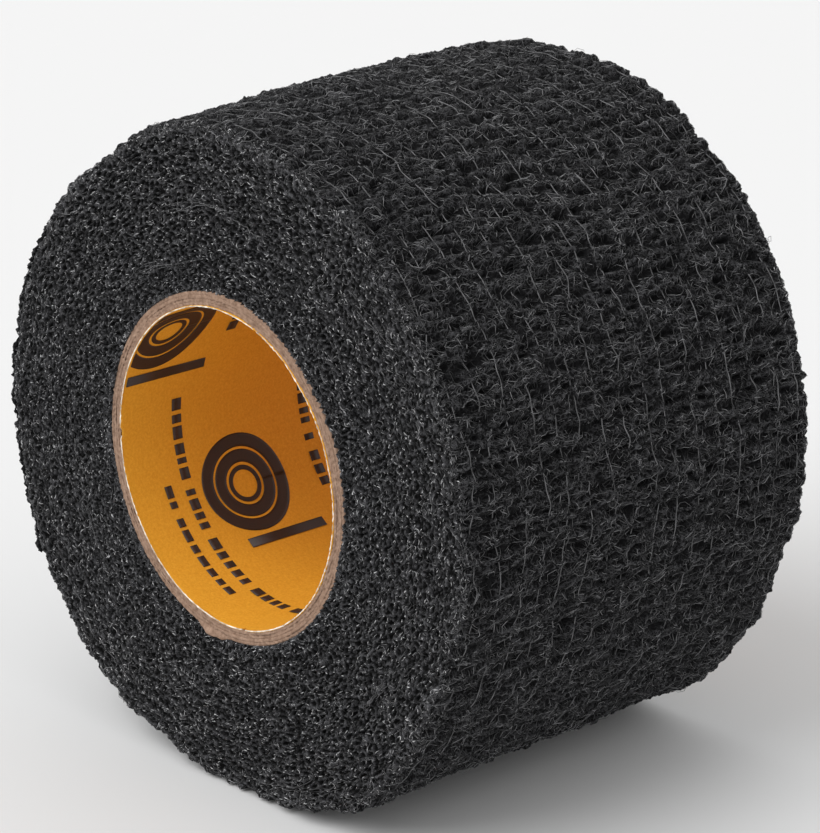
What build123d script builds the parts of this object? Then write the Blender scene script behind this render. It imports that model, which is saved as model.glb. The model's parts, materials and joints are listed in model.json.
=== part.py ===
"""Roll of self-clinging elastic grip tape on a cardboard core, lying on its curved side.

Millimetres, +Z up, roll axis along Y. The origin is on the surface the roll lies on, under the
middle of the roll. Angles run from +X towards +Z, and the tape is wound outwards that way.
"""
import os
from math import cos, degrees, floor, radians, sin

from build123d import *

os.makedirs("parts", exist_ok=True)

# Overall sizes
tape_width = 38.0
roll_radius = 27.5  # to the outer face of the last full turn
bore_radius = 13.0

# Core: a printed paper liner inside four kraft plies
liner_thickness = 0.13
ply_thickness = 0.28
seam_gap = 0.2
seam_tilt = 14.0  # each butt seam leans this far from the roll axis
liner_seam_angle = 25.0
ply_seam_step = 100.0  # from one ply's seam to the next, so that no two lie together

# Tape: one strip wound as a spiral
tape_thickness = 0.38
turn_gap = 0.03
slit_depth = 2.0  # how deep the gap between turns is open at each end of the roll
core_clearance = 0.02
root_angle = 150.0  # where the free end starts to peel away
rest_width = 9.0  # width of the soft patch that the roll lies on

# Free end of the tape, which peels about the line where it starts
tail_length = 28.0
tail_lift = 0.10  # the free end lies this much looser than the turns under it
root_gap = 0.10

# Elastic yarns, half sunk in the tape's outer face
yarn_count = 16
yarn_pitch = 2.35
yarn_width = 0.26
yarn_sunk = 0.14
yarn_proud = 0.10
yarn_start_gap = 0.6  # clear of the free end's edge

# Worked out from the sizes above
core_plies = ["core_inner_ply", "core_middle_ply_a", "core_middle_ply_b", "core_outer_ply"]
core_radius = bore_radius + liner_thickness + len(core_plies) * ply_thickness
least_pitch = tape_thickness + turn_gap
first_radius = core_radius + core_clearance + least_pitch / 3
turns = floor((roll_radius - tape_thickness - first_radius) / least_pitch + 0.5)
half_turns = 2 * turns
pitch = 2 * (roll_radius - tape_thickness - first_radius) / (half_turns - 1)
last_even = half_turns - 2
last_odd = half_turns - 1

# A spiral of half circles: their two centres lie pitch / 2 apart on the line through the root
root_x = cos(radians(root_angle))
root_z = sin(radians(root_angle))
centres = [(-root_x * pitch / 4, -root_z * pitch / 4), (root_x * pitch / 4, root_z * pitch / 4)]
starts = [root_angle, root_angle + 180.0]


def face_radius(half_turn):
    """Radius of the inner face of the strip in one half turn, about that half turn's centre."""
    return first_radius + half_turn * pitch / 2


outer_radius_even = face_radius(last_even) + tape_thickness
outer_radius_odd = face_radius(last_odd) + tape_thickness
axis_height = outer_radius_even - centres[0][1]
end_view = Plane((0, 0, axis_height), x_dir=(1, 0, 0), z_dir=(0, -1, 0))

tail_inner = face_radius(half_turns) + tail_lift
tail_outer = tail_inner + tape_thickness
tail_start = root_angle + degrees(root_gap / tail_inner)
tail_sweep = degrees(tail_length / tail_inner)
yarn_start = tail_start + tail_sweep + degrees(yarn_start_gap / tail_inner)
yarn_places = [(i - (yarn_count - 1) / 2) * yarn_pitch for i in range(yarn_count)]


def polar(centre, radius, angle):
    """A point in the end view at a radius and angle about a centre."""
    return (centre[0] + radius * cos(radians(angle)), centre[1] + radius * sin(radians(angle)))


def finish(part, name):
    """Label a finished piece and write its file."""
    part.label = name
    export_step(part, f"parts/{name}.step")


def core_tube(inner, outer):
    """One layer of the core, as long as the tape is wide."""
    with BuildPart() as tube:
        with BuildSketch(end_view):
            Circle(outer)
            Circle(inner, mode=Mode.SUBTRACT)
        extrude(amount=tape_width / 2, both=True)
    return tube.part


def seam_slot(inner, outer, angle):
    """A thin slot through one wall of a layer, leaning away from the roll axis."""
    middle = (inner + outer) / 2
    x, z = polar((0, axis_height), middle, angle)
    outwards = (cos(radians(angle)), 0, sin(radians(angle)))
    wall = Plane((x, 0, z), x_dir=(0, 1, 0), z_dir=outwards).rotated((0, 0, seam_tilt))
    depth = outer - inner + middle / 3
    with BuildPart() as slot:
        with BuildSketch(wall):
            Rectangle(2 * tape_width, seam_gap)
        extrude(amount=depth, both=True)
    return slot.part


# The core's printed liner and its four kraft plies, each with its own butt seam
with BuildPart() as core_liner:
    add(core_tube(bore_radius, bore_radius + liner_thickness))
    add(seam_slot(bore_radius, bore_radius + liner_thickness, liner_seam_angle), mode=Mode.SUBTRACT)
finish(core_liner.part, "core_liner")

for i, name in enumerate(core_plies):
    ply_inner = bore_radius + liner_thickness + i * ply_thickness
    ply_outer = ply_inner + ply_thickness
    ply_seam_angle = liner_seam_angle + (i + 1) * ply_seam_step
    with BuildPart() as ply:
        add(core_tube(ply_inner, ply_outer))
        add(seam_slot(ply_inner, ply_outer, ply_seam_angle), mode=Mode.SUBTRACT)
    finish(ply.part, name)


def yarn_band(low, high):
    """Sketch of the band that a yarn fills on the last full turn, between two offsets."""
    even_centre, odd_centre = centres
    even_sweep = starts[1] - yarn_start
    with BuildSketch(end_view) as band:
        with BuildLine():
            CenterArc(even_centre, outer_radius_even + low, yarn_start, even_sweep)
            CenterArc(odd_centre, outer_radius_odd + low, starts[1], 180)
            Line(
                polar(odd_centre, outer_radius_odd + low, root_angle),
                polar(odd_centre, outer_radius_odd + high, root_angle),
            )
            CenterArc(odd_centre, outer_radius_odd + high, starts[1], 180)
            CenterArc(even_centre, outer_radius_even + high, yarn_start, even_sweep)
            Line(
                polar(even_centre, outer_radius_even + low, yarn_start),
                polar(even_centre, outer_radius_even + high, yarn_start),
            )
        make_face()
    return band.sketch


def tail_band(low, high):
    """Sketch of a band on the free end, between two offsets from its outer face."""
    with BuildSketch(end_view) as band:
        with BuildLine():
            CenterArc(centres[0], tail_outer + low, tail_start, tail_sweep)
            CenterArc(centres[0], tail_outer + high, tail_start, tail_sweep)
            for angle in (tail_start, tail_start + tail_sweep):
                Line(
                    polar(centres[0], tail_outer + low, angle),
                    polar(centres[0], tail_outer + high, angle),
                )
        make_face()
    return band.sketch


def outline(even_radius, odd_radius):
    """Arcs of one full turn of the spiral, closed by a step at the root angle."""
    CenterArc(centres[0], even_radius, starts[0], 180)
    CenterArc(centres[1], odd_radius, starts[1], 180)
    Line(polar(centres[0], even_radius, root_angle), polar(centres[1], odd_radius, root_angle))


def gap_between_turns(plane):
    """Sketch of the thin spiral gap from the first turn out to the last one."""
    with BuildSketch(plane) as gap:
        with BuildLine():
            for offset in (tape_thickness, pitch):
                for k in range(half_turns - 2):
                    CenterArc(centres[k % 2], face_radius(k) + offset, starts[k % 2], 180)
            for centre, k in ((centres[0], 0), (centres[1], half_turns - 3)):
                Line(
                    polar(centre, face_radius(k) + tape_thickness, root_angle),
                    polar(centre, face_radius(k) + pitch, root_angle),
                )
        make_face()
    return gap.sketch


# The wound tape: its turns cling together, and stand apart only near the roll's two ends
with BuildPart() as tape_strip:
    with BuildSketch(end_view):
        with Locations((centres[0][0], -axis_height / 2)):
            Rectangle(rest_width, axis_height)
        with BuildLine():
            outline(outer_radius_even, outer_radius_odd)
        make_face()
        with BuildLine():
            outline(first_radius, face_radius(1))
        make_face(mode=Mode.SUBTRACT)
    extrude(amount=tape_width / 2, both=True)
    extrude(gap_between_turns(end_view.offset(tape_width / 2)), amount=-slit_depth, mode=Mode.SUBTRACT)
    extrude(gap_between_turns(end_view.offset(-tape_width / 2)), amount=slit_depth, mode=Mode.SUBTRACT)
    groove = yarn_band(-yarn_sunk, tape_thickness)
    for place in yarn_places:
        groove_middle = groove.moved(Location((0, place, 0)))
        extrude(groove_middle, amount=yarn_width / 2, both=True, mode=Mode.SUBTRACT)
finish(tape_strip.part, "tape_strip")

# The elastic yarns round the last full turn, flush with the surface that the roll lies on
for i, place in enumerate(yarn_places):
    with BuildPart() as elastic_yarn:
        yarn_face = yarn_band(-yarn_sunk, yarn_proud).moved(Location((0, place, 0)))
        extrude(yarn_face, amount=yarn_width / 2, both=True)
        with Locations((0, place, -tape_width / 2)):
            Box(tape_width, tape_width, tape_width, mode=Mode.SUBTRACT)
    finish(elastic_yarn.part, f"elastic_yarn_{i + 1:02d}")

# The free end of the tape, and the yarn ends laminated in it
with BuildPart() as tail_flap:
    extrude(tail_band(-tape_thickness, 0), amount=tape_width / 2, both=True)
    tail_groove = tail_band(-yarn_sunk, tape_thickness)
    for place in yarn_places:
        groove_middle = tail_groove.moved(Location((0, place, 0)))
        extrude(groove_middle, amount=yarn_width / 2, both=True, mode=Mode.SUBTRACT)
finish(tail_flap.part, "tail_flap")

with BuildPart() as tail_yarn_ends:
    tail_yarn = tail_band(-yarn_sunk, yarn_proud)
    for place in yarn_places:
        extrude(tail_yarn.moved(Location((0, place, 0))), amount=yarn_width / 2, both=True)
finish(tail_yarn_ends.part, "tail_yarn_ends")

hinge_x, hinge_z = polar(centres[1], outer_radius_odd, root_angle)
strip_length = sum(radians(180) * (face_radius(k) + tape_thickness / 2) for k in range(half_turns))
print(f"axis height {axis_height:.3f}, turns {turns}, pitch {pitch:.4f}")
print(f"hinge line at x {hinge_x:.3f}, z {hinge_z + axis_height:.3f}")
print(f"strip length {strip_length + tail_length:.0f} mm")
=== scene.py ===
# %% [markdown]
# # A roll of self-clinging grip tape
#
# The roll is one long black strip of crinkled nonwoven fabric, wound on a small cardboard core.
# The fabric is soft and fuzzy, so nearly all that the eye reads as "cloth" here is shape:
# crinkles across the strip, thin elastic yarns along it, and thousands of short curly fibres.
# We load the exact roll first, and then build each soft surface around it.

# %% Load the frame
import json
import math

import bpy
import numpy as np
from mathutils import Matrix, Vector

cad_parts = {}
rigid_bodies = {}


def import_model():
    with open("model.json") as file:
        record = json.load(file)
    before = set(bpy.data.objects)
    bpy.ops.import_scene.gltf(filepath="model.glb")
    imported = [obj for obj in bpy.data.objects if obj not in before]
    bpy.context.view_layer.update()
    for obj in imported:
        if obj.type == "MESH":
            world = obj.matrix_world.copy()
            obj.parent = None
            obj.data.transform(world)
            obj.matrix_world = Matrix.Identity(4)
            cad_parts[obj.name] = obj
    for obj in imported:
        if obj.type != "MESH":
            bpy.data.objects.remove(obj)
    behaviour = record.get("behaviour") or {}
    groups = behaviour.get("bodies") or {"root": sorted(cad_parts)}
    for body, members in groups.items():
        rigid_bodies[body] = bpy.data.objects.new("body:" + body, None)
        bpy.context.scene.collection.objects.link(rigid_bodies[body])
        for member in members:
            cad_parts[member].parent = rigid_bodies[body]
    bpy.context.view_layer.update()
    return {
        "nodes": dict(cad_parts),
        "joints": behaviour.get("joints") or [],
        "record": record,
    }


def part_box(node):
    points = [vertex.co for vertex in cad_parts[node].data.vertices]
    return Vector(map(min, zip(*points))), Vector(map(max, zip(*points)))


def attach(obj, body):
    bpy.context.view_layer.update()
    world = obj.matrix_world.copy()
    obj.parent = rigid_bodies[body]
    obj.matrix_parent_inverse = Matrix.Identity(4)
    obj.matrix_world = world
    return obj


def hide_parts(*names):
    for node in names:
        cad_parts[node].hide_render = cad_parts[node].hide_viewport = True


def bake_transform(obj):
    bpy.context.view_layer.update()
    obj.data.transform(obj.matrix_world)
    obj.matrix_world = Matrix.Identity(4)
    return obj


for leftover in list(bpy.data.objects):
    bpy.data.objects.remove(leftover)
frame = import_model()
MM = 0.001

# %% [markdown]
# ## Sizes taken from the frame
#
# Every size is read from the loaded parts, so that the soft pieces always fit the hard ones.
# Angles run round the roll from +X towards +Z, and y runs along the roll's axis.

# %% Read the roll's sizes
bore = next(mount for mount in frame["record"]["mounts"] if mount["name"] == "core_bore")
bore_radius = bore["dims"]["r_mm"] * MM
axis_height = bore["pos_m"][2]
half_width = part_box("tape_strip")[1][1]
core_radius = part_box("core_outer_ply")[1][0]
hinge_x, _, hinge_z = frame["joints"][0]["pos_m"]
root_radius = math.hypot(hinge_x, hinge_z - axis_height)
root_angle = math.atan2(hinge_z - axis_height, hinge_x)
edge_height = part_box("tail_flap")[0][2]
edge_angle = math.pi - math.asin((edge_height - axis_height) / root_radius)
yarn_nodes = sorted(name for name in frame["nodes"] if name.startswith("elastic_yarn_"))
yarn_rows = np.array([(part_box(name)[0][1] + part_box(name)[1][1]) / 2 for name in yarn_nodes])
LAYER = 0.417 * MM  # one turn of tape with the air under it
TAPE = 0.38 * MM  # the tape alone
print("roll radius", round(root_radius / MM, 2), "mm, free end from", round(math.degrees(root_angle)),
      "to", round(math.degrees(edge_angle)), "degrees,", len(yarn_rows), "yarns")

# %% [markdown]
# ## Small helpers
#
# Colours are given as sRGB hex, and shaders want linear light. One function adds any shader node
# with its settings and links, so a material reads as a recipe: a pattern, and the two shades that
# it mixes. Dense fabric is quicker to write as arrays of points than as modifiers, so another
# function turns arrays into a mesh with its own texture map.

# %% Helpers
def linear(hex_colour):
    """An sRGB hex colour as the linear RGBA that shaders use."""
    srgb = [int(hex_colour[i:i + 2], 16) / 255 for i in (1, 3, 5)]
    return tuple(c / 12.92 if c <= 0.04045 else ((c + 0.055) / 1.055) ** 2.4 for c in srgb) + (1.0,)


def add_node(tree, kind, inputs=(), **settings):
    """Adds one node. Inputs are values, or other nodes or their outputs, by name or number."""
    made = tree.nodes.new(kind)
    for name, value in settings.items():
        setattr(made, name, value)
    for name, value in dict(inputs).items():
        if isinstance(value, bpy.types.Node):
            value = value.outputs[0]
        if isinstance(value, bpy.types.NodeSocket):
            tree.links.new(value, made.inputs[name])
        else:
            made.inputs[name].default_value = value
    return made


def new_material(name):
    """An empty node material: its tree, its shader and the point being shaded, in metres."""
    material = bpy.data.materials.new(name)
    material.use_nodes = True
    tree = material.node_tree
    shader = tree.nodes["Principled BSDF"]
    place = add_node(tree, "ShaderNodeTexCoord").outputs["Object"]
    return material, tree, shader, place


def dye(tree, shader, share, dark, light, roughness, gloss=0.5):
    """Gives a finish two shades, mixed by a pattern's share, and says how rough and glossy it is."""
    shades = {"Factor": share, "A": linear(dark), "B": linear(light)}
    colour = add_node(tree, "ShaderNodeMix", shades, data_type="RGBA").outputs["Result"]
    tree.links.new(colour, shader.inputs["Base Color"])
    shader.inputs["Roughness"].default_value = roughness
    shader.inputs["Specular IOR Level"].default_value = gloss


def array_mesh(name, points, quads, uv, material, caps=None):
    """A smooth mesh from arrays of points, four-cornered faces, three-cornered caps and their map."""
    mesh = bpy.data.meshes.new(name)
    corners = quads.reshape(-1)
    starts = np.arange(len(quads)) * 4
    if caps is not None:
        starts = np.concatenate([starts, len(corners) + np.arange(len(caps)) * 3])
        corners = np.concatenate([corners, caps.reshape(-1)])
    mesh.vertices.add(len(points))
    mesh.vertices.foreach_set("co", points.astype(np.float32).reshape(-1))
    mesh.loops.add(len(corners))
    mesh.loops.foreach_set("vertex_index", corners.astype(np.int32))
    mesh.polygons.add(len(starts))
    mesh.polygons.foreach_set("loop_start", starts.astype(np.int32))
    mesh.polygons.foreach_set("use_smooth", np.ones(len(starts), dtype=bool))
    mesh.uv_layers.new(name="OFBake").data.foreach_set("uv", uv.astype(np.float32).reshape(-1))
    mesh.update(calc_edges=True)
    mesh.validate()
    piece = bpy.data.objects.new(name, mesh)
    bpy.context.scene.collection.objects.link(piece)
    mesh.materials.append(material)
    return piece


# %% [markdown]
# ## Camera, floor and light
#
# The roll lies on pale paper in a pale room, which lights it softly from everywhere. One broad
# light above the front end gives the cloth its glints. We look down a little, through a long lens,
# because a short one would make the near end of the roll swell.

# %% Camera
VIEW_AZIMUTH = math.radians(47.84)
VIEW_ELEVATION = math.radians(19.1)
VIEW_DISTANCE = 0.3
back = Vector((
    math.sin(VIEW_AZIMUTH) * math.cos(VIEW_ELEVATION),
    -math.cos(VIEW_AZIMUTH) * math.cos(VIEW_ELEVATION),
    math.sin(VIEW_ELEVATION),
))
side_step = Vector((math.cos(VIEW_AZIMUTH), math.sin(VIEW_AZIMUTH), 0)) * 0.5 * MM
camera_data = bpy.data.cameras.new("camera")
camera_data.lens = 159.1
camera_data.clip_start = 0.01
camera = bpy.data.objects.new("camera", camera_data)
camera.location = Vector((0, 0, axis_height)) + side_step + back * VIEW_DISTANCE
camera.rotation_euler = back.to_track_quat("Z", "Y").to_euler()
bpy.context.scene.collection.objects.link(camera)
bpy.context.scene.camera = camera
bpy.context.scene.view_settings.view_transform = "Standard"
print("camera", [round(c, 4) for c in camera.location])


# %% Floor and lights
floor_material, _, floor_shader, _ = new_material("pale_table_paper")
floor_shader.inputs["Base Color"].default_value = linear("#dcdcdc")
floor_shader.inputs["Roughness"].default_value = 0.9
floor_shader.inputs["Specular IOR Level"].default_value = 0.2
floor_mesh = bpy.data.meshes.new("floor")
floor_mesh.from_pydata([(-9, -9, 0), (9, -9, 0), (9, 9, 0), (-9, 9, 0)], [], [(0, 1, 2, 3)])
floor_mesh.materials.append(floor_material)
floor = bpy.data.objects.new("floor", floor_mesh)
bpy.context.scene.collection.objects.link(floor)

world = bpy.data.worlds.new("pale_room")
bpy.context.scene.world = world
world.use_nodes = True
world.node_tree.nodes["Background"].inputs["Color"].default_value = linear("#ffffff")
world.node_tree.nodes["Background"].inputs["Strength"].default_value = 0.86
key_data = bpy.data.lights.new("key_front", "SUN")
key_data.energy = 1.8
key_data.angle = math.radians(45)
key = bpy.data.objects.new("key_front", key_data)
key.rotation_euler = Vector((-0.15, -0.72, 0.78)).to_track_quat("Z", "Y").to_euler()
bpy.context.scene.collection.objects.link(key)

# %% [markdown]
# ## Random heights
#
# Crinkled cloth is a random surface with a few typical wave lengths. To make one, we filter white
# noise in frequency and keep only waves near the length we want, longer one way than the other.
# The result repeats at its edges, so that it closes round the roll with no seam.

# %% Noise by wave length
def crumple(shape, size, wave, spread, seed):
    """Random heights of unit strength on a grid, with the given wave length along each axis."""
    noise = np.random.default_rng(seed).standard_normal(shape)
    rate = [np.fft.fftfreq(n, length / n) for n, length in zip(shape, size)]
    distance = np.hypot(rate[0][:, None] * wave[0], rate[1][None, :] * wave[1])
    field = np.fft.ifft2(np.fft.fft2(noise) * np.exp(-(((distance - 1) / spread) ** 2))).real
    return field / field.std()


def read(field, row, column, wrap=True):
    """Values of a grid between its points. Rows wrap round the roll, and columns stop at the edge."""
    count = field.shape[0]
    if not wrap:
        row = np.clip(row, 0, count - 1.001)
    column = np.clip(column, 0, field.shape[1] - 1.001)
    low_row, low_column = np.floor(row).astype(int), np.floor(column).astype(int)
    part_row, part_column = row - low_row, column - low_column
    if field.ndim == 3:
        part_row, part_column = part_row[..., None], part_column[..., None]
    above, below = low_row % count, (low_row + 1) % count
    near = field[above, low_column] * (1 - part_row) + field[below, low_column] * part_row
    far = field[above, low_column + 1] * (1 - part_row) + field[below, low_column + 1] * part_row
    return near * (1 - part_column) + far * part_column


def smooth(value, start, end):
    """Rises smoothly from 0 at start to 1 at end."""
    share = np.clip((value - start) / (end - start), 0, 1)
    return share * share * (3 - 2 * share)


# %% [markdown]
# ## How the strip's flat side is crinkled
#
# The factory stretches the elastic yarns, lays a fibre web on each side, bonds them and lets go.
# The yarns shrink and the web puckers into ridges that run across the strip, about 2 mm apart,
# pinched down at each yarn. On top of that come tufts of loose fibre about a third of a millimetre
# wide, and the slow waves of a roll that was wound by a quick machine.

# %% Heights of the side
AROUND = 1440
ACROSS = 320
girth = 2 * math.pi * root_radius
field_size = (girth, 2 * half_width)
side_y = np.linspace(-half_width, half_width, ACROSS)
angles = np.linspace(0, 2 * math.pi, AROUND, endpoint=False)

ridges = crumple((AROUND, ACROSS), field_size, (1.9 * MM, 6.0 * MM), 0.45, 11)
small_ridges = crumple((AROUND, ACROSS), field_size, (0.85 * MM, 2.2 * MM), 0.5, 12)
tufts = crumple((AROUND, ACROSS), field_size, (0.42 * MM, 0.55 * MM), 0.5, 13)
waves = crumple((AROUND, ACROSS), field_size, (11 * MM, 16 * MM), 0.6, 14)
yarn_wander = crumple((AROUND, 32), (girth, 32 * MM), (14 * MM, 3 * MM), 0.5, 15)[:, :len(yarn_rows)]
yarn_kinks = crumple((AROUND, 32), (girth, 32 * MM), (2.2 * MM, 2 * MM), 0.5, 17)[:, :len(yarn_rows)]
yarn_paths = yarn_rows[None, :] + yarn_wander * 0.2 * MM + yarn_kinks * 0.06 * MM


def yarn_nearness(width):
    """1 on a yarn and 0 away from it, over the whole side."""
    gap = np.abs(side_y[None, :, None] - yarn_paths[:, None, :]).min(axis=2)
    return np.exp(-((gap / width) ** 2))


pinch = yarn_nearness(0.45 * MM)
side_height = MM * (
    0.15 * np.tanh(1.3 * ridges) * (1 - 0.5 * pinch)
    - 0.17 * np.clip(-ridges - 0.6, 0, 2) * (1 - 0.6 * pinch)
    + 0.075 * small_ridges
    - 0.17 * np.clip(-small_ridges - 0.8, 0, 2)
    + 0.045 * tufts
    - 0.06 * np.clip(-tufts - 0.8, 0, 2)
    + 0.1 * waves
)
print("crinkle height", round(float(np.ptp(side_height)) / MM, 2), "mm from pit to crest")

# %% [markdown]
# ## How the ends look
#
# At each end we see the cut edges of all the turns. Each edge is crinkled, so the rings break up
# into a granular surface of tufts and dark pits, with only a hint of the spiral left in it.
# The grain is drawn out a little along the winding. Finer grain and slow dents don't follow it, so
# they are made on a flat square grid and read at each point. The cut webs stand as thin
# walls round dark pits: walls are where a smooth noise is near its middle value.

# %% Heights of the ends
GRID = 600
grid_size = 60 * MM
WOUND_COLUMNS = 160
WOUND_STEP = 0.1 * MM


def end_height(radius, angle, flip, seed):
    """How far the wound edges stand out at one end of the roll."""
    column = (radius * np.cos(angle) / grid_size + 0.5) * GRID
    row = (radius * np.sin(angle) / grid_size + 0.5) * GRID
    wound_size = (2 * math.pi * 20 * MM, WOUND_COLUMNS * WOUND_STEP)
    wound = crumple((AROUND, WOUND_COLUMNS), wound_size, (1.15 * MM, 0.68 * MM), 0.4, seed)
    grain = read(wound, angle / (2 * math.pi) * AROUND, (radius - core_radius) / WOUND_STEP)
    fine = crumple((GRID, GRID), (grid_size, grid_size), (0.34 * MM, 0.34 * MM), 0.4, seed + 1)
    patches = crumple((GRID, GRID), (grid_size, grid_size), (5 * MM, 5 * MM), 0.7, seed + 2)
    dishes = crumple((GRID, GRID), (grid_size, grid_size), (19 * MM, 19 * MM), 0.5, seed + 3)
    turn = (radius - core_radius) / LAYER + flip * angle / (2 * math.pi) + 0.22 * read(patches, row, column)
    spiral = np.cos(2 * math.pi * turn)
    shape = (
        0.12 - 0.23 * np.minimum(np.abs(grain), 1.6)
        + 0.06 * read(fine, row, column)
        + 0.03 * spiral * (1 + 0.6 * read(patches, row, column))
        + 0.14 * read(dishes, row, column)
        + 0.03 * read(patches, row, column)
    )
    return shape * MM


# %% [markdown]
# ## The outline
#
# A hand-wound roll of soft tape is never round. These few bulges and flats are what the outline
# of this one has: where each is, how wide it is, and how far it stands out at the front and at the
# back of the roll. The radius also grows by one layer in each turn, so there is a step of one
# layer where the free end leaves the roll. That step hides under the free end.

# %% Outline
BULGES = (  # angle and width in degrees, then height at the front, middle and back in mm
    (126, 22, -1.00, 0.05, 0.15),
    (112, 14, 0.10, 0.55, 0.60),
    (176, 18, 0.40, 0.00, -0.30),
    (216, 26, 1.05, 0.40, 0.00),
    (262, 14, -0.50, -0.30, 0.00),
    (304, 17, 1.00, 1.00, 1.15),
    (338, 24, 0.10, 0.00, -0.35),
    (12, 20, 0.00, 0.00, -0.10),
    (70, 18, 0.10, 0.20, 0.25),
)


def outline(angle, y, on_tail):
    """Radius of the roll's last full turn, or of the free end on top of it."""
    if on_tail:
        radius = root_radius + LAYER * (angle - root_angle) / (2 * math.pi)
    else:
        since_root = (angle - root_angle) % (2 * math.pi)
        radius = root_radius - LAYER * (1 - since_root / (2 * math.pi))
        radius = radius - LAYER * smooth(since_root, 2 * math.pi - math.radians(9), 2 * math.pi - math.radians(1))
    s = y / half_width  # -1 at the front, 0 in the middle and 1 at the back
    for centre, width, front, middle, rear in BULGES:
        away = (angle - math.radians(centre) + math.pi) % (2 * math.pi) - math.pi
        height = front * s * (s - 1) / 2 + middle * (1 - s * s) + rear * s * (s + 1) / 2
        radius = radius + height * MM * np.exp(-((away / math.radians(width)) ** 2))
    return radius


# %% [markdown]
# ## The wound tape
#
# All the turns together are one skin: out across the front end, round a soft edge, along the side,
# round the other edge and back in. Points along that path are about a tenth of a millimetre apart,
# as fine as the tufts need. Every point is pushed along its own normal by the heights above.

# %% The skin's section
EDGE = 0.75 * MM  # radius of the soft edge between an end and the side
STEP = 0.118 * MM
SOFT = 0.35 * MM  # cloth lower than this flattens out on the table
depth = root_radius - core_radius


def section():
    """Share of the depth, y and normal of each point of the section, from the front to the back."""
    end_share = np.linspace(0, 1 - EDGE / depth, int((depth - EDGE) / STEP))
    turn = np.linspace(0, math.pi / 2, 11)[1:-1]
    flat = np.linspace(-half_width + EDGE, half_width - EDGE, int(2 * (half_width - EDGE) / STEP))
    share = np.concatenate([end_share, 1 + (np.sin(turn) - 1) * EDGE / depth])
    y = np.concatenate([-half_width + 0 * end_share, -half_width + EDGE * (1 - np.cos(turn))])
    out = np.concatenate([0 * end_share, np.sin(turn)])
    along = np.concatenate([0 * end_share - 1, -np.cos(turn)])
    inside = [-half_width + 0.4 * MM]  # the skin turns in along the core at both ends
    share = np.concatenate([[0], share, 1 + 0 * flat, share[::-1], [0]])
    y = np.concatenate([inside, y, flat, -y[::-1], np.negative(inside)])
    out = np.concatenate([[0], out, 1 + 0 * flat, out[::-1], [0]])
    along = np.concatenate([[0], along, 0 * flat, -along[::-1], [0]])
    return share, y, out, along


share, skin_y, skin_out, skin_along = section()


def above_table(z, soft):
    """Heights that flatten out just above the table, as cloth does."""
    return np.where(z < soft, soft * np.exp(np.minimum(z / soft - 1, 0)), z)


def skin(angle, columns, on_tail=False, lift=0.0):
    """Points of the tape's outer skin at these angles, for some columns of the section."""
    y, out, along = skin_y[columns][None, :], skin_out[columns][None, :], skin_along[columns][None, :]
    rim = outline(angle, y, on_tail)
    radius = core_radius + share[columns][None, :] * (rim - core_radius)
    row = angle / (2 * math.pi) * AROUND + 0 * y
    column = (y / half_width + 1) / 2 * (ACROSS - 1) + 0 * angle
    height = out ** 2 * read(side_height, row, column)
    front, rear = y + 0 * angle < 0, y + 0 * angle >= 0
    ends = front * end_height(radius, angle, -1, 31) + rear * end_height(radius, angle, -1, 41)
    height = height + along ** 2 * ends + lift * out ** 2
    wander = read(waves, row, 40 + 0 * column) * front + read(waves, row, 200 + 0 * column) * rear
    radius = radius + out * height
    y = y + along * height + np.sign(y) * 0.1 * MM * wander * share[columns][None, :] ** 2
    z = above_table(axis_height + radius * np.sin(angle), SOFT)
    return np.stack([radius * np.cos(angle), y, z], axis=-1)


def normals_of(points, wrap=True):
    """Unit normals of a grid of points, facing out of the roll."""
    round_step = np.roll(points, -1, 0) - np.roll(points, 1, 0) if wrap else np.gradient(points, axis=0)
    facing = np.cross(np.gradient(points, axis=1), round_step)
    return facing / np.maximum(np.linalg.norm(facing, axis=-1, keepdims=True), 1e-12)


def exposure_of(points, normals):
    """1 on crests and 0 in pits: how far each point stands out of its near and far neighbours."""
    exposure = 1.0
    for reach, depth_seen in ((3, 0.075 * MM), (8, 0.17 * MM)):
        total = sum(np.roll(points, step, 0) for step in range(-reach, reach + 1))
        padded = np.pad(total, ((0, 0), (reach, reach), (0, 0)), mode="edge")
        count = points.shape[1]
        average = sum(padded[:, step:step + count] for step in range(2 * reach + 1)) / (2 * reach + 1) ** 2
        standing_out = ((points - average) * normals).sum(-1)
        exposure = exposure * (0.15 + 0.85 * smooth(standing_out, -depth_seen, depth_seen))
    return 1.35 * exposure


def store_painted_pit_shade(piece, exposure):
    """Gives a mesh one number per point, which its material reads as painted shade in the pits."""
    attribute = piece.data.attributes.new("exposure", "FLOAT", "POINT")
    attribute.data.foreach_set("value", exposure.astype(np.float32).reshape(-1))


def grid_faces(rows, columns, wrap_rows=False, wrap_columns=False):
    """Faces of a grid of points, and the map that spreads them over a square."""
    last_row = rows if wrap_rows else rows - 1
    last_column = columns if wrap_columns else columns - 1
    i, j = np.meshgrid(np.arange(last_row), np.arange(last_column), indexing="ij")
    i, j = i.reshape(-1), j.reshape(-1)
    corners = [(i, j), (i, j + 1), (i + 1, j + 1), (i + 1, j)]
    quads = np.stack([(a % rows) * columns + b % columns for a, b in corners], axis=-1)
    uv = np.stack([np.stack([a / last_row, b / last_column], axis=-1) for a, b in corners], axis=1)
    return quads, uv
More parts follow.
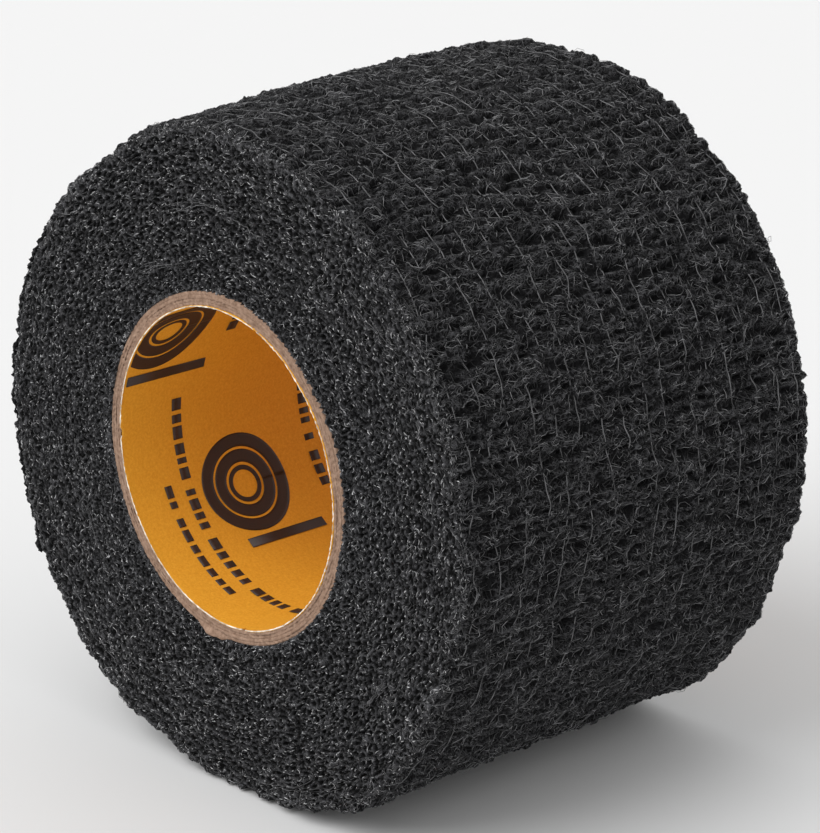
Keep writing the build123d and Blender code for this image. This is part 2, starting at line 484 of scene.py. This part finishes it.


# %% [markdown]
# ### Black crinkled nonwoven
#
# Dyed polyester fibre, carded into a web and bonded with a little dry latex. The web is matt and
# very dark. Its pits get painted shade: how far each point stands out is stored on the mesh, and
# the colour is darkened where that is low. Only the top fibres are modelled. The mat under them is
# a pattern: where a smooth noise crosses its middle value it draws long curly lines, and three such
# layers look like crossing fibres 0.04 mm thick. They tint the colour and raise a fine bump.

# %% Nonwoven material
def spots(tree, place, size, detail, low, high, roughness=0.5):
    """A soft random pattern: 1 on spots of about this size, and 0 between them."""
    noise_inputs = {"Vector": place, "Scale": 1 / size, "Detail": detail, "Roughness": roughness}
    noise = add_node(tree, "ShaderNodeTexNoise", noise_inputs)
    return add_node(tree, "ShaderNodeMapRange", {"Value": noise, "From Min": low, "From Max": high})


def fibre_mat(tree, place, size):
    """1 on the curly lines of three crossing layers of fibre, and 0 between them."""
    mat = 0.0
    for layer in range(3):
        shift = 0.37 * layer  # so that the layers don't repeat each other
        moved = add_node(tree, "ShaderNodeVectorMath", {0: place, 1: (shift, shift, -shift)}, operation="ADD")
        curls = {"Vector": moved, "Scale": 1 / (size * (1 + 0.25 * layer)), "Detail": 1.5, "Roughness": 0.6}
        noise = add_node(tree, "ShaderNodeTexNoise", curls)
        off_middle = add_node(tree, "ShaderNodeMath", {0: noise, 1: 0.5}, operation="SUBTRACT")
        off_line = add_node(tree, "ShaderNodeMath", {0: off_middle}, operation="ABSOLUTE")
        line = add_node(tree, "ShaderNodeMapRange", {"Value": off_line, "From Min": 0.03, "From Max": 0.004})
        mat = add_node(tree, "ShaderNodeMath", {0: line, 1: mat}, operation="MAXIMUM")
    return mat


nonwoven, tree, shader, place = new_material("black_carded_nonwoven")
mat = fibre_mat(tree, place, 0.5 * MM)
tuft = spots(tree, place, 0.6 * MM, 3.0, 0.3, 0.7)
tuft = add_node(tree, "ShaderNodeMath", {0: tuft, 1: 0.7, 2: 0.3}, operation="MULTIPLY_ADD")
shade = add_node(tree, "ShaderNodeMath", {0: mat, 1: tuft}, operation="MULTIPLY")
# Painted shade: the colour is darkened in the pits, where the stored number is low.
painted_pit_shade = add_node(tree, "ShaderNodeAttribute", attribute_name="exposure").outputs["Fac"]
painted_pit_shade = add_node(tree, "ShaderNodeMath", {0: painted_pit_shade, 1: 1.3, 2: 0.1}, operation="MULTIPLY_ADD")
shade = add_node(tree, "ShaderNodeMath", {0: shade, 1: painted_pit_shade}, operation="MULTIPLY")
dye(tree, shader, shade, "#0c0c0d", "#444446", 0.8, 0.08)
bump = add_node(tree, "ShaderNodeBump", {"Height": mat, "Strength": 0.6, "Distance": 0.05 * MM})
tree.links.new(bump.outputs["Normal"], shader.inputs["Normal"])

# %% [markdown]
# ### Cut edges of the web
#
# The knife packs fibre and dry latex together, so the ends are a little lighter and glossier than
# the side, in crumbs instead of curls. Their pits get painted shade, more steeply than the side's.

# %% Cut edge material
cut_edge_finish, tree, shader, place = new_material("latex_bonded_cut_fibre")
crumbs = fibre_mat(tree, place, 0.28 * MM)
lump = spots(tree, place, 0.3 * MM, 3.0, 0.35, 0.65)
shade = add_node(tree, "ShaderNodeMath", {0: crumbs, 1: 0.6, 2: 0.4}, operation="MULTIPLY_ADD")
shade = add_node(tree, "ShaderNodeMath", {0: shade, 1: lump}, operation="MULTIPLY")
# Painted shade: the colour is darkened in the pits, more steeply than on the side.
painted_pit_shade = add_node(tree, "ShaderNodeAttribute", attribute_name="exposure").outputs["Fac"]
painted_pit_shade = add_node(tree, "ShaderNodeMath", {0: painted_pit_shade, 1: 1.5}, operation="POWER")
shade = add_node(tree, "ShaderNodeMath", {0: shade, 1: painted_pit_shade}, operation="MULTIPLY")
dye(tree, shader, shade, "#080808", "#67676a", 0.5, 0.07)
bump = add_node(tree, "ShaderNodeBump", {"Height": crumbs, "Strength": 0.9, "Distance": 0.06 * MM})
tree.links.new(bump.outputs["Normal"], shader.inputs["Normal"])

# %% The wound tape
everywhere = np.arange(len(share))
tape_points = skin(angles[:, None], everywhere)
tape_normals = normals_of(tape_points)
quads, uv = grid_faces(AROUND, len(share), wrap_rows=True, wrap_columns=True)
wound_tape = array_mesh("wound_tape", tape_points.reshape(-1, 3), quads, uv, nonwoven)
wound_tape.data.materials.append(cut_edge_finish)
on_end = np.tile(skin_out < 0.4, AROUND)
wound_tape.data.polygons.foreach_set("material_index", on_end.astype(np.int32))
tape_exposure = exposure_of(tape_points, tape_normals)
# The stored number is painted as shade in the pits of the wound tape.
store_painted_pit_shade(wound_tape, tape_exposure)
print("surface in the pits", round(100 * float((tape_exposure < 0.2).mean())), "%")
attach(wound_tape, "roll")
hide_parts("tape_strip")
print("wound tape", len(quads), "faces")

# %% [markdown]
# ## The free end
#
# The last 28 mm of the strip is only stuck down, and a thumb peels it up. It is a thin sheet with
# two faces and cut edges. It starts under the skin of the roll and rises out of it, with the same
# crinkles, so that no line shows where the two meet. Past the peel line it bends away.

# %% Free end
def slab(outer, inner):
    """A closed thin piece between two grids of points."""
    rows, columns = outer.shape[:2]
    ring = np.concatenate([outer, inner[:, ::-1]], axis=1)
    quads, uv = grid_faces(rows, 2 * columns, wrap_columns=True)
    uv[..., 0] *= 0.98
    j = np.arange(columns - 1)
    far_side = 2 * columns - 1 - j
    first = np.stack([j, far_side, far_side - 1, j + 1], axis=-1)
    last = np.stack([j, j + 1, far_side - 1, far_side], axis=-1) + (rows - 1) * 2 * columns
    strip = np.stack([j / columns, (j + 1) / columns, (j + 1) / columns, j / columns], axis=-1)
    width = np.broadcast_to([0.985, 0.985, 0.99, 0.99], strip.shape)
    cap_uv = [np.stack([width + shift, strip], axis=-1) for shift in (0.0, 0.007)]
    return ring.reshape(-1, 3), np.concatenate([quads, first, last]), np.concatenate([uv, *cap_uv])


TAIL_ROWS = 330
tail_start = root_angle - math.radians(22)
tail_columns = np.nonzero(skin_out > 0.35)[0]
tail_y = skin_y[tail_columns][None, :]
cut_edge = edge_angle + read(ridges, np.full(tail_y.shape, 700.0), (tail_y / half_width + 1) / 2 * ACROSS) * 0.006
tail_share = np.linspace(0, 1, TAIL_ROWS)[:, None]
tail_angles = tail_start + (cut_edge - tail_start) * tail_share
rise = smooth(tail_angles, tail_start, root_angle - math.radians(10))
curl = smooth(tail_angles, edge_angle - math.radians(7), edge_angle + math.radians(1)) ** 2
tail_lift = MM * (0.06 - 0.36 * (1 - rise) + 0.22 * curl)
tail_points = skin(tail_angles, tail_columns, on_tail=True, lift=tail_lift)
tail_normals = normals_of(tail_points, wrap=False)
points, quads, uv = slab(tail_points, tail_points - tail_normals * 0.8 * TAPE)
free_end = array_mesh("free_end", points, quads, uv, nonwoven)
tail_exposure = exposure_of(tail_points, tail_normals)
# Painted shade for the free end's pits; its first and last rows get a middle value.
tail_exposure[[0, 1, 2, -3, -2, -1]] = 0.5
store_painted_pit_shade(free_end, np.concatenate([tail_exposure, tail_exposure[:, ::-1]], axis=1))
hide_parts("tail_flap")


def bend_with_tail(piece):
    """Bakes the piece's placement into its points."""
    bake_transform(piece)


bend_with_tail(free_end)

# %% [markdown]
# ## Elastic yarns
#
# Sixteen fine elastic yarns run along the strip between its two webs. They show as thin, paler
# lines that come and go. A yarn is taut while the web round it is puckered, so each strand here
# keeps to the crinkles' average height, and crests of the web hide it now and then.

# %% Strands
def tubes(centres, ups, radii, sides):
    """Many thin tubes at once. centres and ups are (tube, point, xyz), and radii are (tube, point)."""
    count, points_each = centres.shape[:2]
    along = np.gradient(centres, axis=1)
    along /= np.maximum(np.linalg.norm(along, axis=-1, keepdims=True), 1e-12)
    sideways = np.cross(along, ups)
    sideways /= np.maximum(np.linalg.norm(sideways, axis=-1, keepdims=True), 1e-12)
    upright = np.cross(sideways, along)
    turn = (2 * math.pi * np.arange(sides) / sides)[None, None, :, None]
    ring = np.cos(turn) * upright[:, :, None] + np.sin(turn) * sideways[:, :, None]
    points = centres[:, :, None] + radii[:, :, None, None] * ring
    tube, k, side = np.meshgrid(np.arange(count), np.arange(points_each - 1), np.arange(sides), indexing="ij")
    tube, k, side = tube.reshape(-1), k.reshape(-1), side.reshape(-1)
    corners = [(k, side), (k, side + 1), (k + 1, side + 1), (k + 1, side)]
    quads = np.stack([(tube * points_each + a) * sides + b % sides for a, b in corners], axis=-1)
    cells = math.ceil(math.sqrt(count))
    left, low = (tube % cells) / cells, (tube // cells) / cells
    corner_uv = [(left + 0.9 * a / points_each / cells, low + 0.9 * b / sides / cells) for a, b in corners]
    uv = np.stack([np.stack(pair, axis=-1) for pair in corner_uv], axis=1).reshape(-1, 2)
    fan = np.arange(1, sides - 1)
    start_fan = np.stack([0 * fan, fan + 1, fan], axis=-1)
    end_fan = np.stack([0 * fan, fan, fan + 1], axis=-1) + (points_each - 1) * sides
    fans = np.concatenate([start_fan, end_fan])
    first_point = (np.arange(count) * points_each * sides)[:, None, None]
    caps = (first_point + fans[None]).reshape(-1, 3)
    tube_uv = np.stack([(np.arange(count) % cells) / cells, (np.arange(count) // cells) / cells], axis=-1)
    cap_uv = np.repeat(tube_uv + 0.95 / cells, 3 * len(fans), axis=0)
    return points.reshape(-1, 3), quads, np.concatenate([uv, cap_uv]), caps


def column_of(y):
    """Column of the skin's section at this y on the side."""
    flat = np.nonzero(skin_out == 1)[0]
    return np.interp(y, skin_y[flat], flat)


# %% Elastic yarn finish
# Spandex with a dyed polyester cover: smoother than the web, so a little paler and shinier.
elastic, tree, shader, place = new_material("charcoal_elastic_yarn")
worn = spots(tree, place, 0.8 * MM, 3.0, 0.35, 0.65)
dye(tree, shader, worn, "#363637", "#727274", 0.4)

# %% Lay the yarns
YARN_RADIUS = 0.04 * MM  # of the part that shows between the webs
slow = np.exp(-((np.fft.fftfreq(AROUND, girth / AROUND) * 3.2 * MM) ** 2))[:, None]
taut_height = np.fft.ifft(np.fft.fft(side_height, axis=0) * slow, axis=0).real
above_web = taut_height - side_height
yarn_depth = crumple((AROUND, 32), (girth, 32 * MM), (5 * MM, 3 * MM), 0.6, 16)[:, :len(yarn_rows)]


def strand(angle, number, points, row, first_column):
    """One taut yarn along a grid of points: its tube's arrays."""
    turn_row = angle / (2 * math.pi) * AROUND
    number_column = np.full(angle.shape, float(number))
    y = read(yarn_paths, turn_row, number_column)
    column = column_of(y) - first_column
    side_column = (y / half_width + 1) / 2 * (ACROSS - 1)
    lift = read(above_web, turn_row, side_column) + MM * (0.005 + 0.075 * read(yarn_depth, turn_row, number_column))
    up = np.stack([np.cos(angle), 0 * angle, np.sin(angle)], axis=-1)
    centre = read(points, row, column) + up * lift[:, None]
    return tubes(centre[None], up[None], np.full((1, len(angle)), YARN_RADIUS), 6)


strand_angles = np.linspace(edge_angle + math.radians(0.8), root_angle + 2 * math.pi - math.radians(6), 620)
for number, node in enumerate(yarn_nodes):
    made = strand(strand_angles, number, tape_points, strand_angles / (2 * math.pi) * AROUND, 0)
    yarn = array_mesh(node + "_strand", made[0], made[1], made[2], elastic, made[3])
    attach(yarn, "roll")
    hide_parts(node)

tail_strands = []
tail_strand_angles = np.linspace(tail_start + math.radians(8), edge_angle - math.radians(0.4), 220)
tail_row = (tail_strand_angles - tail_start) / (edge_angle - tail_start) * (TAIL_ROWS - 1)
for number in range(len(yarn_nodes)):
    tail_strands.append(strand(tail_strand_angles, number, tail_points, tail_row, tail_columns[0]))
offset = len(tail_strands[0][0])
tail_yarns = array_mesh(
    "tail_yarn_strands",
    np.concatenate([made[0] for made in tail_strands]),
    np.concatenate([made[1] + i * offset for i, made in enumerate(tail_strands)]),
    np.concatenate(
        [(made[2][:4 * len(made[1])] + [i % 4, i // 4]) / 4 for i, made in enumerate(tail_strands)]
        + [(made[2][4 * len(made[1]):] + [i % 4, i // 4]) / 4 for i, made in enumerate(tail_strands)]
    ),
    elastic,
    np.concatenate([made[3] + i * offset for i, made in enumerate(tail_strands)]),
)
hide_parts("tail_yarn_ends")
bend_with_tail(tail_yarns)
print(len(yarn_nodes), "yarns round the roll, and as many in the free end")

# %% [markdown]
# ## Loose fibres
#
# What makes the cloth look like cloth up close is its loose fibres: short, curly, hair thin and a
# little shiny. A hair system could make them, but the finished meshes have to carry them, so each
# is a three-sided tube. It starts at a random place, more often on a crest than in a pit, and
# walks over the skin in a direction that keeps turning, arching up between its two buried ends.
# Most lie across the strip, because the web puckered that way. Real ones are about 0.02 mm thick.
# These are drawn about twice as thick, so that they show.

# %% Walk fibres over a skin
def lay_fibres(points, normals, rows_per_radian, wrap, start_row, start_column, shape, seed):
    """Centres and ups of fibres that start at the given places. shape holds their ranges in mm."""
    random = np.random.default_rng(seed)
    count, steps = len(start_row), shape["points"]
    low, high = shape["length"]
    length = MM * (low + (high - low) * random.random(count) ** 1.4)
    heading = shape.get("heading", 0) + random.normal(0, shape["scatter"], count)
    heading = heading + math.pi * random.integers(0, 2, count)
    bend = random.normal(0, shape["bend"], count) / MM
    start = read(points, start_row, start_column, wrap)
    radius = np.hypot(start[:, 0], start[:, 2] - axis_height)
    rows, columns = [start_row], [start_column]
    stride = length / (steps - 1)
    for _ in range(steps - 1):
        rows.append(rows[-1] + np.cos(heading) * stride * rows_per_radian / radius)
        columns.append(columns[-1] + np.sin(heading) * stride / STEP)
        heading = heading + bend * stride + random.normal(0, shape["wiggle"], count)
    row, column = np.stack(rows, axis=1), np.stack(columns, axis=1)
    arch = np.sin(np.linspace(0, math.pi, steps))[None, :]
    low, high = shape["arch"]
    tall = low + (high - low) * random.random((count, 1)) ** 2
    ups = read(normals, row, column, wrap)
    lift = MM * (arch * tall - 0.012 + random.normal(0, 0.012, row.shape))
    centres = read(points, row, column, wrap) + ups * lift[..., None]
    centres[..., 2] = above_table(centres[..., 2], 0.1 * MM)
    return centres, ups


def on_crests(random, row, column, exposure, count, wrap=True):
    """The first of these places that the light reaches. Few fibres start down in the pits."""
    kept = random.random(len(row)) < 0.05 + read(exposure, row, column, wrap) ** 1.5
    return row[kept][:count], column[kept][:count]


def fibre_piece(name, laid, thickness, material, seed):
    """One mesh of laid fibres, tapered at both ends."""
    centres, ups = laid
    radii = np.random.default_rng(seed).uniform(*thickness, (len(centres), 1)) / 2 * MM
    taper = np.ones(centres.shape[1])
    taper[[0, -1]] = 0.5
    points, quads, uv, caps = tubes(centres, ups, radii * taper[None, :], 3)
    piece = array_mesh(name, points, quads, uv, material, caps)
    return piece


# %% [markdown]
# ### Fibre finish
#
# The same dyed polyester as the web, seen one fibre at a time: smooth, so each has a thin bright
# line where it faces the light, and no two are the same shade of charcoal.

# %% Fibre material
fibre, tree, shader, _ = new_material("charcoal_polyester_fibre")
island = add_node(tree, "ShaderNodeNewGeometry").outputs["Random Per Island"]
bright = add_node(tree, "ShaderNodeMath", {0: island, 1: 2.8}, operation="POWER")
dye(tree, shader, bright, "#1c1c1d", "#9c9c9e", 0.38)

# Cut tips in random shades, mostly dark: the few near-white ones are painted glints.
tips, tree, shader, _ = new_material("cut_fibre_tips_with_painted_glints")
island = add_node(tree, "ShaderNodeNewGeometry").outputs["Random Per Island"]
bright = add_node(tree, "ShaderNodeMath", {0: island, 1: 4.5}, operation="POWER")
dye(tree, shader, bright, "#2b2b2c", "#dcdcde", 0.3, 0.6)

# %% Fibres of the side
ROWS_PER_RADIAN = AROUND / (2 * math.pi)


def fibres_on_roll(name, start_row, start_column, shape, width, finish, seed):
    """A piece of fibres that start at these places of the wound tape's skin."""
    laid = lay_fibres(tape_points, tape_normals, ROWS_PER_RADIAN, True, start_row, start_column, shape, seed)
    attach(fibre_piece(name, laid, width, finish, seed + 100), "roll")
    print(name, len(start_row))


SIDE_WIDTH = (0.028, 0.052)  # least and most, in mm
TRIES = 5  # places drawn for each fibre, because most of those in pits are dropped
SIDE_SHAPE = {
    "points": 4, "length": (0.4, 1.7), "heading": math.pi / 2, "scatter": 0.62,
    "bend": 1.0, "wiggle": 0.42, "arch": (0.01, 0.11),
}
SIDE_PIECES, SIDE_EACH = 8, 7400
first_side, last_side = np.nonzero(skin_out > 0.3)[0][[0, -1]]
for part in range(SIDE_PIECES):
    random = np.random.default_rng(100 + part)
    start_row = random.uniform(0, AROUND, TRIES * SIDE_EACH)
    start_column = random.uniform(first_side, last_side, TRIES * SIDE_EACH)
    start_row, start_column = on_crests(random, start_row, start_column, tape_exposure, SIDE_EACH)
    name = f"side_fibres_{part + 1}"
    fibres_on_roll(name, start_row, start_column, SIDE_SHAPE, SIDE_WIDTH, fibre, 200 + part)

# %% Stray fibres
STRAY_SHAPE = {"points": 12, "length": (1.5, 4.0), "scatter": 1.6, "bend": 0.9, "wiggle": 0.3, "arch": (0.1, 0.6)}
STRAY_WIDTH = (0.03, 0.045)
STRAYS = 260
OVER_EDGE = 30  # columns of the ends, next to the side, that stray fibres start on too
random = np.random.default_rng(130)
start_row = random.uniform(0, AROUND, STRAYS)
start_column = random.uniform(first_side - OVER_EDGE, last_side + OVER_EDGE, STRAYS)
fibres_on_roll("stray_fibres", start_row, start_column, STRAY_SHAPE, STRAY_WIDTH, fibre, 230)

# %% Fibres of the free end
HIDDEN_ROWS = 40  # under the roll's skin
CUT_ROWS = 4  # next to the cut edge
random = np.random.default_rng(120)
start_row = random.uniform(HIDDEN_ROWS, TAIL_ROWS - CUT_ROWS, TRIES * SIDE_EACH)
start_column = random.uniform(0, len(tail_columns) - 1, TRIES * SIDE_EACH)
start_row, start_column = on_crests(random, start_row, start_column, tail_exposure, SIDE_EACH, wrap=False)
tail_rows_per_radian = (TAIL_ROWS - 1) / (edge_angle - tail_start)
laid = lay_fibres(tail_points, tail_normals, tail_rows_per_radian, False, start_row, start_column, SIDE_SHAPE, 220)
tail_fibres = fibre_piece("tail_fibres", laid, SIDE_WIDTH, fibre, 320)
bend_with_tail(tail_fibres)

# %% [markdown]
# ### Cut fibres of the ends
#
# At the ends the fibres were cut with the strip, so they are shorter and mostly lie along the turns.
# They shine as small specks, partly real gloss and partly painted glints: a few are coloured near
# white. Latex sticks some together, so these are drawn thicker still. Here and there the knife
# pulled threads loose, in short arcs along the winding.

# %% Fibres of the ends
END_SHAPE = {"points": 3, "length": (0.1, 0.46), "scatter": 0.6, "bend": 0.8, "wiggle": 0.18, "arch": (0.02, 0.09)}
END_WIDTH = (0.035, 0.1)
END_PIECES, END_EACH = 3, 9900
for name, flip in (("front_end_fibres", False), ("back_end_fibres", True)):
    for part in range(END_PIECES):
        random = np.random.default_rng(140 + 10 * part + flip)
        radius = np.sqrt(random.uniform(core_radius ** 2, root_radius ** 2, TRIES * END_EACH))
        start_column = 1 + (radius - core_radius) / STEP
        if flip:
            start_column = len(share) - 1 - start_column
        start_row = random.uniform(0, AROUND, TRIES * END_EACH)
        start_row, start_column = on_crests(random, start_row, start_column, tape_exposure, END_EACH)
        seed = 240 + 10 * part + flip
        fibres_on_roll(f"{name}_{part + 1}", start_row, start_column, END_SHAPE, END_WIDTH, tips, seed)

# %% Threads pulled along the winding
THREAD_SHAPE = {
    "points": 22, "length": (3.5, 9.0), "scatter": 0.02, "bend": 0.01, "wiggle": 0.04, "arch": (0.06, 0.14),
}
BUNDLES = (  # angle in degrees and share of the wound depth of each loose bundle of threads
    (98, 0.50), (122, 0.22), (15, 0.75), (325, 0.60), (285, 0.85), (228, 0.80), (200, 0.40),
)
THREAD_WIDTH = (0.045, 0.075)
THREADS_EACH = 6
for name, flip in (("front_end_threads", False), ("back_end_threads", True)):
    random = np.random.default_rng(160 + flip)
    centre = np.repeat(np.array(BUNDLES), THREADS_EACH, axis=0)
    start_row = centre[:, 0] / 360 * AROUND + random.normal(0, 45, len(centre))
    start_column = 1 + centre[:, 1] * depth / STEP + random.normal(0, 1.8, len(centre))
    if flip:
        start_column = len(share) - 1 - start_column
    fibres_on_roll(name, start_row, start_column, THREAD_SHAPE, THREAD_WIDTH, elastic, 260 + flip)

# %% [markdown]
# ## The cardboard core
#
# A core is wound from strips of grey-brown kraft paper, glued ply on ply round a mandrel, and cut
# to length with a knife. The innermost strip is thin white paper, printed before it was wound. Its
# cut edge stays white and stands a hair proud. Each ply is its own tube here, as long as the roll,
# with a rim that the knife has roughened.

# %% Paper materials
# Unbleached wood pulp: matt, mottled by fibres half a millimetre long.
kraft, tree, shader, place = new_material("grey_brown_kraft_board")
pulp = spots(tree, place, 0.5 * MM, 6.0, 0.3, 0.7, roughness=0.7)
dye(tree, shader, pulp, "#735a4a", "#a68b78", 0.9, 0.15)
fuzz = add_node(tree, "ShaderNodeTexNoise", {"Vector": place, "Scale": 1 / (0.09 * MM), "Detail": 3.0})
bump = add_node(tree, "ShaderNodeBump", {"Height": fuzz, "Strength": 0.7, "Distance": 0.05 * MM})
tree.links.new(bump.outputs["Normal"], shader.inputs["Normal"])

# Bleached pulp, bare where the knife cut the liner: white, and a little soiled.
white_edge, tree, shader, place = new_material("white_paper_cut_edge")
soil = spots(tree, place, 0.7 * MM, 4.0, 0.35, 0.6)
dye(tree, shader, soil, "#a3937f", "#ebe6da", 0.85)

# The same paper under an even coat of orange ink: less matt than the board, with a faint grain.
orange, tree, shader, place = new_material("orange_printed_paper")
grain_inputs = {"Vector": place, "Scale": 1 / (0.22 * MM), "Detail": 4.0, "Roughness": 0.75}
grain = add_node(tree, "ShaderNodeTexNoise", grain_inputs)
mottle = add_node(tree, "ShaderNodeMapRange", {"Value": grain, "From Min": 0.3, "From Max": 0.7})
dye(tree, shader, mottle, "#d39221", "#e7aa39", 0.65, 0.2)
bump = add_node(tree, "ShaderNodeBump", {"Height": grain, "Strength": 0.25, "Distance": 0.03 * MM})
tree.links.new(bump.outputs["Normal"], shader.inputs["Normal"])

# %% Paper tubes
PAPER_ROUND = 900
paper_angles = np.linspace(0, 2 * math.pi, PAPER_ROUND, endpoint=False)[:, None]


def bump_at(degrees, width, height):
    """A smooth bump round the rim of a paper tube."""
    away = (paper_angles - math.radians(degrees) + math.pi) % (2 * math.pi) - math.pi
    return height * MM * np.exp(-((away / math.radians(width)) ** 2))


def paper_tube(name, node, inner, outer, material, seed, rough, front_shape=0.0, flare=0.0):
    """A ply of the core: a closed tube with rims that vary by rough, in mm."""
    girth_here = 2 * math.pi * inner
    fibre_noise = crumple((PAPER_ROUND, 64), (girth_here, 8 * MM), (0.5 * MM, 0.5 * MM), 0.6, seed)
    long_noise = crumple((PAPER_ROUND, 64), (girth_here, 8 * MM), (5 * MM, 5 * MM), 0.6, seed + 1)
    across = np.array([0, 0.25, 0.5, 0.75, 1.0])
    rim_round = np.array([0.02, 0, 0, 0, 0.02]) * MM
    near_rim = half_width - np.array([0.05, 0.25]) * MM
    wall = np.concatenate([-near_rim, np.linspace(-half_width + MM, half_width - MM, 22), near_rim[::-1]])
    thickness = outer - inner
    radius = np.concatenate([outer - across * thickness, inner + 0 * wall, inner + across * thickness, [outer]])
    y = np.concatenate([-half_width + rim_round, wall, half_width - rim_round, [0]])
    rim = np.concatenate([np.ones(5), 0 * wall, np.ones(5), [0]])[None, :]
    rim_column = np.concatenate([10 + 3 * across, 30 + 0 * wall, 50 - 3 * across, [20]])[None, :]
    row = np.arange(PAPER_ROUND)[:, None] + 0 * rim_column
    column = rim_column + 0 * row
    uneven = rough * MM * (read(fibre_noise, row, column) + 0.8 * read(long_noise, row, column))
    front = (y < 0)[None, :] * rim
    y = y[None, :] + rim * uneven + front * front_shape
    radius = radius[None, :] + 0.35 * rim * uneven + front * flare
    wall_wave = 0.02 * MM * read(long_noise, row, 5 + (y / half_width + 1) * 20) * (1 - rim)
    seam_angle = math.radians(25) + y * math.tan(math.radians(14)) / inner
    from_seam = (paper_angles - seam_angle + math.pi) % (2 * math.pi) - math.pi
    seam = 0.06 * MM * np.exp(-((from_seam * inner / (0.12 * MM)) ** 2))
    radius = radius + (wall_wave + seam) * (radius < (inner + outer) / 2)
    points = np.stack([radius * np.cos(paper_angles), y, axis_height + radius * np.sin(paper_angles)], axis=-1)
    quads, uv = grid_faces(PAPER_ROUND, points.shape[1], wrap_rows=True, wrap_columns=True)
    quads, uv = quads[:, ::-1], uv[:, ::-1]
    tube = array_mesh(name, points.reshape(-1, 3), quads, uv, material)
    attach(tube, "roll")
    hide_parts(node)
    return tube, len(wall)


ply_nodes = ["core_inner_ply", "core_middle_ply_a", "core_middle_ply_b", "core_outer_ply"]
liner_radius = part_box("core_liner")[1][0]
ply_radius = [liner_radius] + [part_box(node)[1][0] for node in ply_nodes]
torn = bump_at(262, 4.5, 0.4) + bump_at(268, 2, 0.2)
for i, node in enumerate(ply_nodes):
    flare = torn if i == 3 else 0.0
    front_shape = MM * (0.02, 0.04, 0.01, 0.03)[i] - 0.6 * flare
    inner, outer = ply_radius[i], ply_radius[i + 1]
    ply, _ = paper_tube(node + "_paper", node, inner, outer, kraft, 50 + 2 * i, 0.025, front_shape, flare)
    print(node, round((outer - inner) / MM, 2), "mm thick")

nicks = bump_at(181.5, 1.2, 0.35) + bump_at(279, 0.8, 0.4) + bump_at(302, 1.5, 0.15)
liner, wall_columns = paper_tube(
    "core_liner_paper", "core_liner", bore_radius, liner_radius, orange, 70, 0.02, nicks - 0.05 * MM
)
liner.data.materials.append(white_edge)
columns_each = len(liner.data.vertices) // PAPER_ROUND
column_number = np.arange(len(liner.data.polygons)) % columns_each
back_rim = column_number - 5 - wall_columns
white = ((column_number > 0) & (column_number < 4)) | ((back_rim >= 0) & (back_rim < 3))
liner.data.polygons.foreach_set("material_index", white.astype(np.int32))

# %% [markdown]
# ## Printed marks
#
# The liner is printed with a repeated mark and rows of small ones. Ours are plain: rings with a bar
# under them, for a roll and a length of tape, and rows of short bars that say nothing. Each mark is
# a film of ink, a fiftieth of a millimetre thick, wrapped on the inside of the core.

# %% Ink
# A second, dark brown ink over the orange: it lies on the paper in one thin, slightly uneven coat.
ink, tree, shader, place = new_material("dark_brown_printing_ink")
ink_inputs = {"Vector": place, "Scale": 1 / (0.25 * MM), "Detail": 4.0, "Roughness": 0.7}
mottle = add_node(tree, "ShaderNodeTexNoise", ink_inputs)
dye(tree, shader, mottle, "#1f1310", "#38251f", 0.55)

INK = 0.02 * MM


def wrap_ink(around, along):
    """Wraps flat points, in mm round the bore and in from its front rim, on the bore's wall."""
    angle = around * MM / bore_radius
    y = -half_width + np.clip(along, 0.12, None) * MM
    made = []
    for radius in (bore_radius - 0.05 * MM, bore_radius - 0.05 * MM + INK):
        made.append(np.stack([radius * np.cos(angle), y, axis_height + radius * np.sin(angle)], axis=-1))
    return slab(made[0][:, ::-1], made[1][:, ::-1])


def bar(start, end, low, high):
    """A plain bar between two places round the bore, from low to high along it."""
    around, along = np.meshgrid(np.linspace(start, end, 8), np.linspace(low, high, 3), indexing="ij")
    return wrap_ink(around, along)


def ring_mark(around, along, inner, outer):
    """A ring, as a roll looks from its end."""
    turn, radius = np.meshgrid(np.linspace(0, 2 * math.pi, 73), np.linspace(inner, outer, 6), indexing="ij")
    return wrap_ink(around + radius * np.sin(turn), along + radius * np.cos(turn))


def roll_mark(around, along):
    """A roll of tape standing on a length of tape."""
    return [
        ring_mark(around, along, 1.2, 1.6),
        ring_mark(around, along, 1.85, 2.95),
        ring_mark(around, along, 3.15, 4.3),
        bar(around + 4.7, around + 5.6, along - 2.4, along + 5.6),
    ]


def place_mm(degrees):
    """Distance round the bore, in mm, of an angle in degrees."""
    return math.radians(degrees) * bore_radius / MM


patches = roll_mark(place_mm(212), 11.2) + roll_mark(place_mm(139), 2.6)
patches += roll_mark(place_mm(285), 20.5) + roll_mark(place_mm(66), 17.0)
BAR_ROWS = (  # start in degrees, number of bars, then distance from the front rim and height in mm
    (174, 22, 5.2, 0.95), (205, 9, 3.3, 0.7), (170, 10, 18.6, 0.95), (20, 22, 9.5, 0.95), (50, 9, 7.6, 0.7),
)
for start, count, along, height in BAR_ROWS:
    random = np.random.default_rng(int(start))
    at = place_mm(start)
    for _ in range(count):
        width = random.uniform(0.45, 1.1)
        patches.append(bar(at, at + width, along, along + height))
        at += width + random.uniform(0.28, 0.4) + (random.random() < 0.15) * 0.6
sizes = np.cumsum([0] + [len(patch[0]) for patch in patches])
cells = math.ceil(math.sqrt(len(patches)))
marks = array_mesh(
    "printed_marks",
    np.concatenate([patch[0] for patch in patches]),
    np.concatenate([patch[1] + size for patch, size in zip(patches, sizes)]),
    np.concatenate([(patch[2] * 0.95 + [i % cells, i // cells]) / cells for i, patch in enumerate(patches)]),
    ink,
)
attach(marks, "roll")
print(len(patches), "printed marks")
